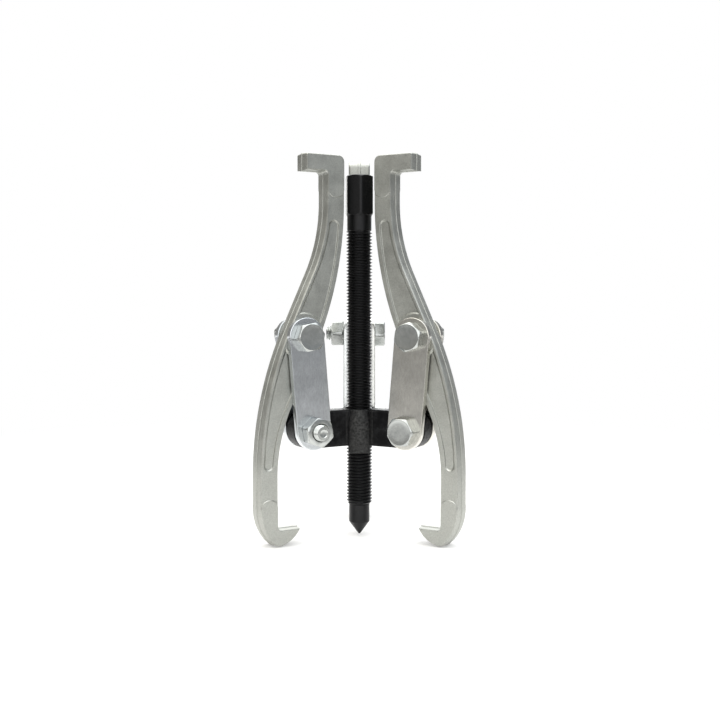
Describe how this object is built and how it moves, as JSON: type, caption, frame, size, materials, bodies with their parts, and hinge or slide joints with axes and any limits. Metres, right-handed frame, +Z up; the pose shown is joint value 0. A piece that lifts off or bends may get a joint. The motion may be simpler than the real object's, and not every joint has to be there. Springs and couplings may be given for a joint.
{
  "type": "three-jaw gear puller",
  "caption": "Reversible jaw puller: hooked jaws on link pairs around a yoke, drawn up by a central forcing screw with a hexagonal drive head and a cone point.",
  "frame": {"origin": "on the screw's axis, in the plane that the three hooks stand on", "axes": "+Z up along the screw's axis towards the drive head; the rear jaw lies along +Y, the two front jaws at 30 degrees either side of -Y's sides, at azimuths -150 and -30 degrees"},
  "size_m": [0.0802, 0.0694, 0.1458],
  "materials": {
    "jaw_steel": "forged, plated, satin",
    "link_zinc": "bright zinc plated, smooth",
    "fastener_zinc": "bright zinc plated",
    "yoke_black": "black oxide on a forged surface",
    "screw_black": "black oxide, oiled"
  },
  "bodies": {
    "yoke": {"yoke": "yoke_black"},
    "screw_point": {"screw_point": "screw_black"},
    "forcing_screw": {"forcing_screw": "screw_black"},
    "links_left": {"link_left_front": "link_zinc", "link_left_back": "link_zinc", "lower_bolt_left": "fastener_zinc", "lower_nut_left": "fastener_zinc"},
    "upper_pivot_left": {"upper_bolt_left": "fastener_zinc", "upper_nut_left": "fastener_zinc"},
    "jaw_left": {"jaw_left": "jaw_steel"},
    "links_right": {"link_right_front": "link_zinc", "link_right_back": "link_zinc", "lower_bolt_right": "fastener_zinc", "lower_nut_right": "fastener_zinc"},
    "upper_pivot_right": {"upper_bolt_right": "fastener_zinc", "upper_nut_right": "fastener_zinc"},
    "jaw_right": {"jaw_right": "jaw_steel"},
    "links_rear": {"link_rear_left": "link_zinc", "link_rear_right": "link_zinc", "lower_bolt_rear": "fastener_zinc", "lower_nut_rear": "fastener_zinc"},
    "upper_pivot_rear": {"upper_bolt_rear": "fastener_zinc", "upper_nut_rear": "fastener_zinc"},
    "jaw_rear": {"jaw_rear": "jaw_steel"}
  },
  "joints": [
    {"name": "screw_feed", "type": "slide", "parent": "yoke", "child": "screw_point", "axis": [0, 0, 1], "range_m": [-0.0675, 0.02]},
    {"name": "screw_turn", "type": "hinge", "parent": "screw_point", "child": "forcing_screw", "pos_m": [0, 0, 0.0648], "axis": [0, 0, 1], "range_deg": [-19450, 5770]},
    {"name": "arm_swing_left", "type": "hinge", "parent": "yoke", "child": "links_left", "pos_m": [-0.01966, -0.01135, 0.0424], "axis": [0.5, -0.866, 0], "range_deg": [-1.2, 75]},
    {"name": "jaw_level_left", "type": "hinge", "parent": "links_left", "child": "upper_pivot_left", "pos_m": [-0.02232, -0.01289, 0.07757], "axis": [0.5, -0.866, 0], "range_deg": [-75.5, 1.5]},
    {"name": "jaw_tilt_left", "type": "hinge", "parent": "upper_pivot_left", "child": "jaw_left", "pos_m": [-0.02232, -0.01289, 0.07757], "axis": [-0.5, 0.866, 0], "range_deg": [-4.5, 1.4]},
    {"name": "arm_swing_right", "type": "hinge", "parent": "yoke", "child": "links_right", "pos_m": [0.01966, -0.01135, 0.0424], "axis": [0.5, 0.866, 0], "range_deg": [-1.2, 75]},
    {"name": "jaw_level_right", "type": "hinge", "parent": "links_right", "child": "upper_pivot_right", "pos_m": [0.02232, -0.01289, 0.07757], "axis": [0.5, 0.866, 0], "range_deg": [-75.5, 1.5]},
    {"name": "jaw_tilt_right", "type": "hinge", "parent": "upper_pivot_right", "child": "jaw_right", "pos_m": [0.02232, -0.01289, 0.07757], "axis": [-0.5, -0.866, 0], "range_deg": [-4.5, 1.4]},
    {"name": "arm_swing_rear", "type": "hinge", "parent": "yoke", "child": "links_rear", "pos_m": [0, 0.0227, 0.0424], "axis": [-1, 0, 0], "range_deg": [-1.2, 75]},
    {"name": "jaw_level_rear", "type": "hinge", "parent": "links_rear", "child": "upper_pivot_rear", "pos_m": [0, 0.02578, 0.07757], "axis": [-1, 0, 0], "range_deg": [-75.5, 1.5]},
    {"name": "jaw_tilt_rear", "type": "hinge", "parent": "upper_pivot_rear", "child": "jaw_rear", "pos_m": [0, 0.02578, 0.07757], "axis": [1, 0, 0], "range_deg": [-4.5, 1.4]}
  ],
  "couplings": [
    {"joint": "screw_turn", "follows": "screw_feed", "rad_per_m": 5026.5},
    {"joint": "jaw_level_left", "follows": "arm_swing_left", "ratio": -1},
    {"joint": "jaw_level_right", "follows": "arm_swing_right", "ratio": -1},
    {"joint": "jaw_level_rear", "follows": "arm_swing_rear", "ratio": -1}
  ]
}
